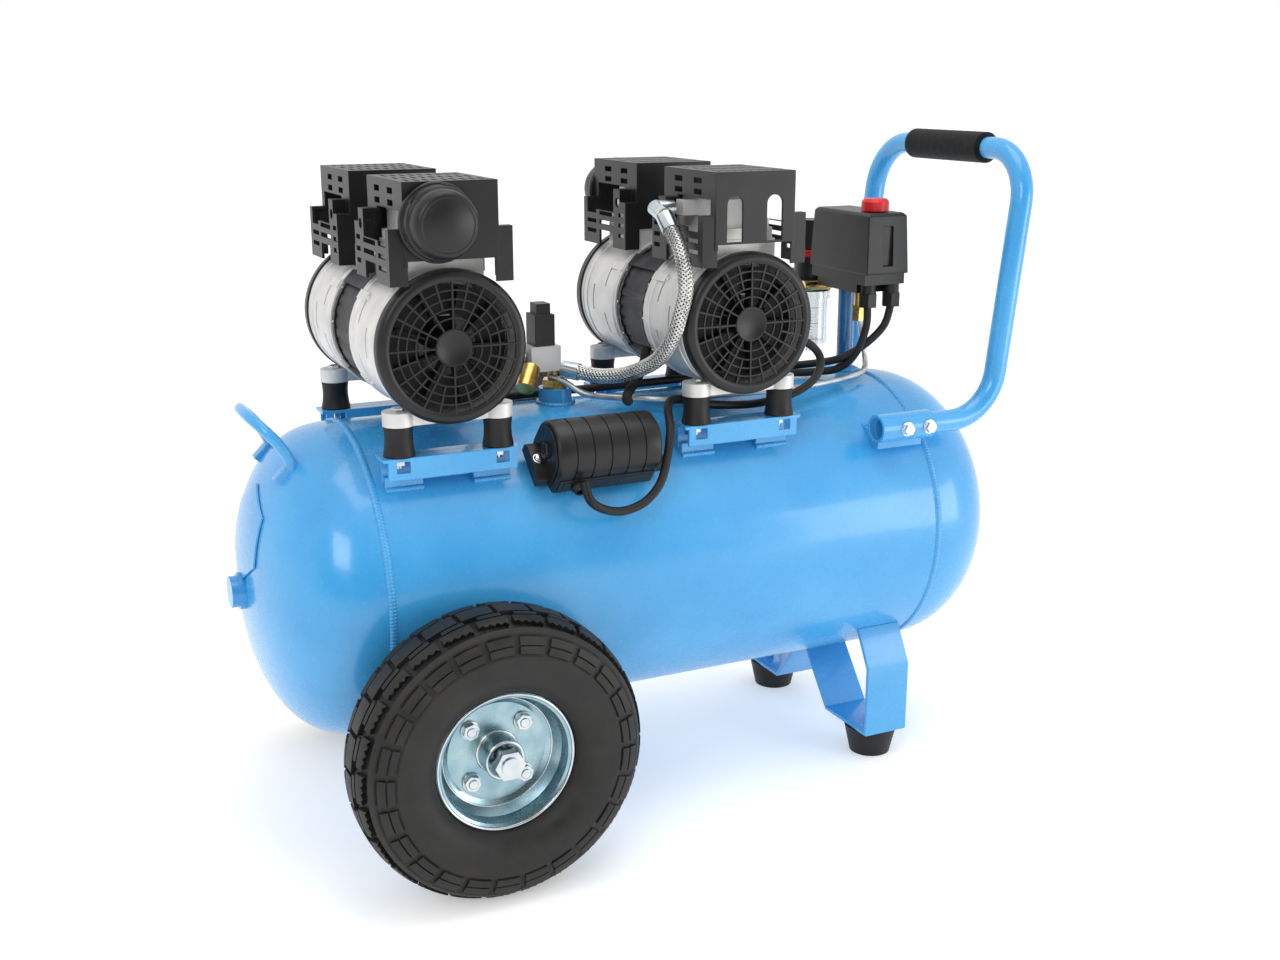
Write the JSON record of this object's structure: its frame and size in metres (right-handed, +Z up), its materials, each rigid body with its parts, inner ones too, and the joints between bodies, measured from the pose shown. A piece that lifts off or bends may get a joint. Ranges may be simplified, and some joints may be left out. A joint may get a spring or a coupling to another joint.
{
  "type": "air compressor",
  "caption": "Portable twin-motor oil-free air compressor on a horizontal blue tank with two wheels, rubber feet and a tubular handle.",
  "frame": {"origin": "on the floor, under the middle of the bounding box", "axes": "+X along the tank towards the handle, -Y towards the near wheel, +Z up"},
  "size_m": [0.79, 0.4638, 0.6366],
  "materials": {
    "paint": "glossy light blue paint",
    "dark_paint": "glossy blue paint",
    "zinc": "bright zinc plating",
    "tyre": "matt black tread rubber",
    "rubber": "matt black rubber",
    "foam": "fine black foam",
    "cast_aluminium": "blasted die casting",
    "lamination": "dark varnished steel sheets",
    "black_plastic": "fine-grained black plastic",
    "red_plastic": "smooth red plastic",
    "clear_plastic": "clear moulded bowl",
    "brass": "machined brass",
    "braid": "woven stainless wire",
    "bare_aluminium": "drawn tube"
  },
  "bodies": {
    "frame": {"tank_barrel": "paint", "tank_heads": "paint", "weld_seams": "paint", "tank_fittings": "paint", "tow_eye": "paint", "data_plate": "paint", "axle_bracket": "paint", "axle": "zinc", "leg_brackets": "paint", "rubber_feet": "rubber", "frame_bolts": "zinc", "motor_rails": "paint", "rubber_mounts": "rubber", "mount_nuts": "zinc", "handle_sockets": "paint", "handle_tube": "paint", "foam_grip": "foam", "castings_left": "cast_aluminium", "castings_right": "cast_aluminium", "stators": "lamination", "fan_guards": "black_plastic", "heads_left": "cast_aluminium", "heads_right": "cast_aluminium", "covers_left": "black_plastic", "covers_right": "black_plastic", "intake_filters": "black_plastic", "hose_fittings": "zinc", "braided_hoses": "braid", "manifold": "cast_aluminium", "solenoid": "black_plastic", "brass_fittings": "brass", "unloader_tube": "bare_aluminium", "capacitor_boxes": "black_plastic", "cables": "rubber", "riser_pipe": "dark_paint", "switch_base": "black_plastic", "switch_cover": "black_plastic", "cable_glands": "black_plastic", "regulator_body": "black_plastic", "filter_bowl": "clear_plastic", "gauge": "black_plastic", "coupler_body": "brass", "drain_valve": "brass"},
    "wheel_near": {"rim_near": "zinc", "tyre_near": "tyre"},
    "wheel_far": {"rim_far": "zinc", "tyre_far": "tyre"},
    "rotor_left": {"rotor_left": "lamination"},
    "rotor_right": {"rotor_right": "lamination"},
    "piston_left_near": {"piston_left_near": "cast_aluminium"},
    "piston_left_far": {"piston_left_far": "cast_aluminium"},
    "piston_right_near": {"piston_right_near": "cast_aluminium"},
    "piston_right_far": {"piston_right_far": "cast_aluminium"},
    "switch_knob": {"switch_knob": "red_plastic"},
    "safety_ring": {"safety_ring": "brass"},
    "lock_ring": {"lock_ring": "red_plastic"},
    "regulator_knob": {"regulator_knob": "black_plastic"},
    "gauge_needle": {"gauge_needle": "black_plastic"},
    "coupler_sleeve": {"coupler_sleeve": "zinc"},
    "drain_handle": {"drain_handle": "brass"}
  },
  "joints": [
    {"name": "wheel_near_spin", "type": "hinge", "parent": "frame", "child": "wheel_near", "pos_m": [-0.213, -0.19, 0.13], "axis": [0, 1, 0], "continuous": true},
    {"name": "wheel_far_spin", "type": "hinge", "parent": "frame", "child": "wheel_far", "pos_m": [-0.213, 0.19, 0.13], "axis": [0, 1, 0], "continuous": true},
    {"name": "rotor_left_spin", "type": "hinge", "parent": "frame", "child": "rotor_left", "pos_m": [-0.218, 0, 0.471], "axis": [0, 1, 0], "continuous": true},
    {"name": "piston_left_near_slide", "type": "slide", "parent": "frame", "child": "piston_left_near", "axis": [0, 0, 1], "range_m": [-0.02, 0]},
    {"name": "piston_left_far_slide", "type": "slide", "parent": "frame", "child": "piston_left_far", "axis": [0, 0, 1], "range_m": [-0.02, 0]},
    {"name": "rotor_right_spin", "type": "hinge", "parent": "frame", "child": "rotor_right", "pos_m": [0.068, 0, 0.471], "axis": [0, 1, 0], "continuous": true},
    {"name": "piston_right_near_slide", "type": "slide", "parent": "frame", "child": "piston_right_near", "axis": [0, 0, 1], "range_m": [-0.02, 0]},
    {"name": "piston_right_far_slide", "type": "slide", "parent": "frame", "child": "piston_right_far", "axis": [0, 0, 1], "range_m": [-0.02, 0]},
    {"name": "switch_knob_pull", "type": "slide", "parent": "frame", "child": "switch_knob", "axis": [0, 0, 1], "range_m": [0, 0.006]},
    {"name": "safety_ring_pull", "type": "slide", "parent": "frame", "child": "safety_ring", "axis": [1, 0, 0], "range_m": [0, 0.003], "stiffness_N_per_m": 2000},
    {"name": "lock_ring_lift", "type": "slide", "parent": "frame", "child": "lock_ring", "axis": [0, 0, 1], "range_m": [0, 0.003]},
    {"name": "regulator_turn", "type": "hinge", "parent": "lock_ring", "child": "regulator_knob", "pos_m": [0.26, 0.076, 0.52], "axis": [0, 0, 1], "range_deg": [-720, 720]},
    {"name": "gauge_needle_turn", "type": "hinge", "parent": "frame", "child": "gauge_needle", "pos_m": [0.295, 0.076, 0.49], "axis": [1, 0, 0], "range_deg": [0, 270]},
    {"name": "coupler_sleeve_pull", "type": "slide", "parent": "frame", "child": "coupler_sleeve", "axis": [0, -1, 0], "range_m": [0, 0.004], "stiffness_N_per_m": 1500},
    {"name": "drain_turn", "type": "hinge", "parent": "frame", "child": "drain_handle", "pos_m": [-0.15, 0, 0.06], "axis": [0, 0, 1], "range_deg": [0, 540]}
  ]
}
